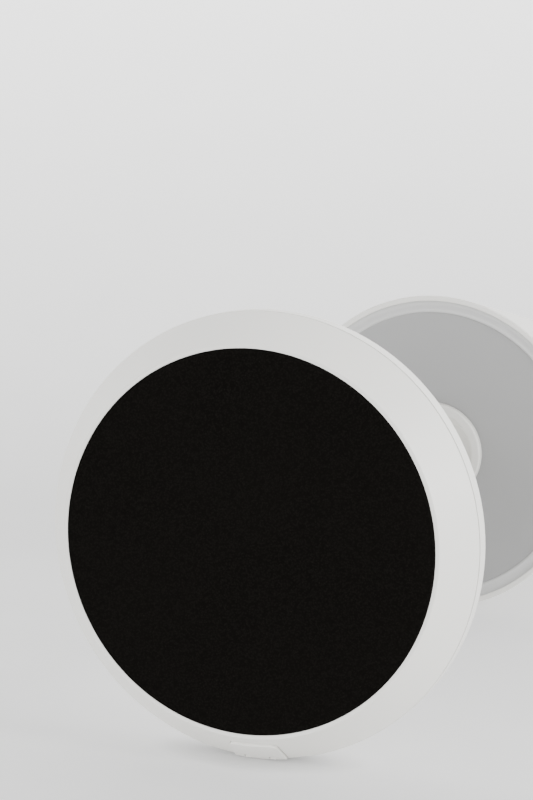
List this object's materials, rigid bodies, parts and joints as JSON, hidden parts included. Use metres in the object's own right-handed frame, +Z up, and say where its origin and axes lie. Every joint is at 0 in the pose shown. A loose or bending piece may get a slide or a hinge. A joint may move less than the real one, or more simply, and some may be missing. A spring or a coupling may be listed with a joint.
{
  "type": "smart speaker lamp",
  "caption": "Portable smart speaker lamp: round base with black foam foot pad and a charging port under a flap, slim stem, tapered shade-like head with light panel below and grille on top.",
  "frame": {"origin": "centre of the foot pad's underside, where the part rests", "axes": "+Z up along the stem, +Y towards the charging port, -Y towards the buttons"},
  "size_m": [0.15, 0.1501, 0.2984],
  "materials": {
    "pad_foam": "matte black closed-cell foam with a fine grain",
    "shell_plastic": "fine-textured warm white moulded plastic",
    "trim_plastic": "satin warm white moulded plastic",
    "diffuser_rim": "satin light grey moulded plastic",
    "flap_silicone": "matte white silicone",
    "button_plastic": "satin white plastic",
    "diffuser_acrylic": "opal acrylic, smooth matte",
    "reflector_plastic": "white gloss plastic",
    "stem_paint": "powder-coated white steel tube",
    "cast_metal": "bare die-cast metal",
    "sheet_aluminium": "brushed aluminium sheet",
    "plated_steel": "zinc-plated steel",
    "ballast_steel": "blackened steel plate",
    "circuit_board": "green solder mask over glass laminate",
    "chip_plastic": "black moulded components",
    "led_chip": "white light chips with yellow phosphor",
    "battery_wrap": "blue shrink film",
    "inner_plastic": "black moulded plastic",
    "wire_jacket": "black flexible jacket",
    "socket_steel": "bright nickel-plated steel",
    "basket_paint": "black painted pressed steel",
    "ferrite": "dark sintered ferrite",
    "coil_copper": "enamelled copper winding",
    "spider_cloth": "resin-treated cloth",
    "cone_paper": "pressed pulp cone",
    "surround_rubber": "matte black rubber",
    "grille_cloth": "woven grey acoustic cloth",
    "lens_plastic": "clear light pipe"
  },
  "bodies": {
    "base": {"foot_pad": "pad_foam", "lower_shell": "shell_plastic", "upper_shell": "shell_plastic", "flap_hinge_pin": "plated_steel", "charge_socket": "socket_steel", "ballast_plate": "ballast_steel", "stem_hub": "cast_metal", "main_board": "circuit_board", "board_parts": "chip_plastic", "board_screws": "plated_steel", "battery_tray": "inner_plastic", "battery": "battery_wrap", "battery_lead": "wire_jacket", "button_board": "circuit_board", "tact_switches": "chip_plastic", "button_board_screws": "plated_steel", "status_lens": "lens_plastic", "mic_boards": "circuit_board", "shell_screws": "plated_steel", "ballast_screws": "plated_steel", "hub_screws": "plated_steel", "stem_trim": "trim_plastic", "stem_tube": "stem_paint", "stem_nut": "plated_steel", "stem_harness": "wire_jacket", "head_collar": "trim_plastic", "head_hub": "inner_plastic", "head_shell": "shell_plastic", "diffuser_frame": "diffuser_rim", "diffuser_panel": "diffuser_acrylic", "reflector": "reflector_plastic", "led_board": "circuit_board", "leds": "led_chip", "light_tray": "sheet_aluminium", "tray_screws": "plated_steel", "driver_gasket": "surround_rubber", "driver_basket": "basket_paint", "driver_terminal": "inner_plastic", "driver_screws": "plated_steel", "top_plate": "plated_steel", "magnet": "ferrite", "yoke": "plated_steel", "spider": "spider_cloth", "surround": "surround_rubber", "grille_frame": "inner_plastic", "grille_cover": "grille_cloth"},
    "flap": {"port_flap": "flap_silicone"},
    "button_power": {"button_power": "button_plastic"},
    "button_volume_down": {"button_volume_down": "button_plastic"},
    "button_volume_up": {"button_volume_up": "button_plastic"},
    "button_play": {"button_play": "button_plastic"},
    "diaphragm": {"cone": "cone_paper", "dust_cap": "cone_paper", "voice_coil": "coil_copper"}
  },
  "joints": [
    {"name": "flap_hinge", "type": "hinge", "parent": "base", "child": "flap", "pos_m": [0, 0.07422, 0.0129], "axis": [1, 0, 0], "range_deg": [0, 105]},
    {"name": "button_power_press", "type": "slide", "parent": "base", "child": "button_power", "axis": [0, 0, -1], "range_m": [0, 0.0006], "stiffness_N_per_m": 1200, "springref_m": -0.0001},
    {"name": "button_volume_down_press", "type": "slide", "parent": "base", "child": "button_volume_down", "axis": [0, 0, -1], "range_m": [0, 0.0006], "stiffness_N_per_m": 1200, "springref_m": -0.0001},
    {"name": "button_volume_up_press", "type": "slide", "parent": "base", "child": "button_volume_up", "axis": [0, 0, -1], "range_m": [0, 0.0006], "stiffness_N_per_m": 1200, "springref_m": -0.0001},
    {"name": "button_play_press", "type": "slide", "parent": "base", "child": "button_play", "axis": [0, 0, -1], "range_m": [0, 0.0006], "stiffness_N_per_m": 1200, "springref_m": -0.0001},
    {"name": "cone_stroke", "type": "slide", "parent": "base", "child": "diaphragm", "axis": [0, 0, 1], "range_m": [-0.0015, 0.0015], "stiffness_N_per_m": 1500, "deforming": ["surround", "spider"]}
  ]
}
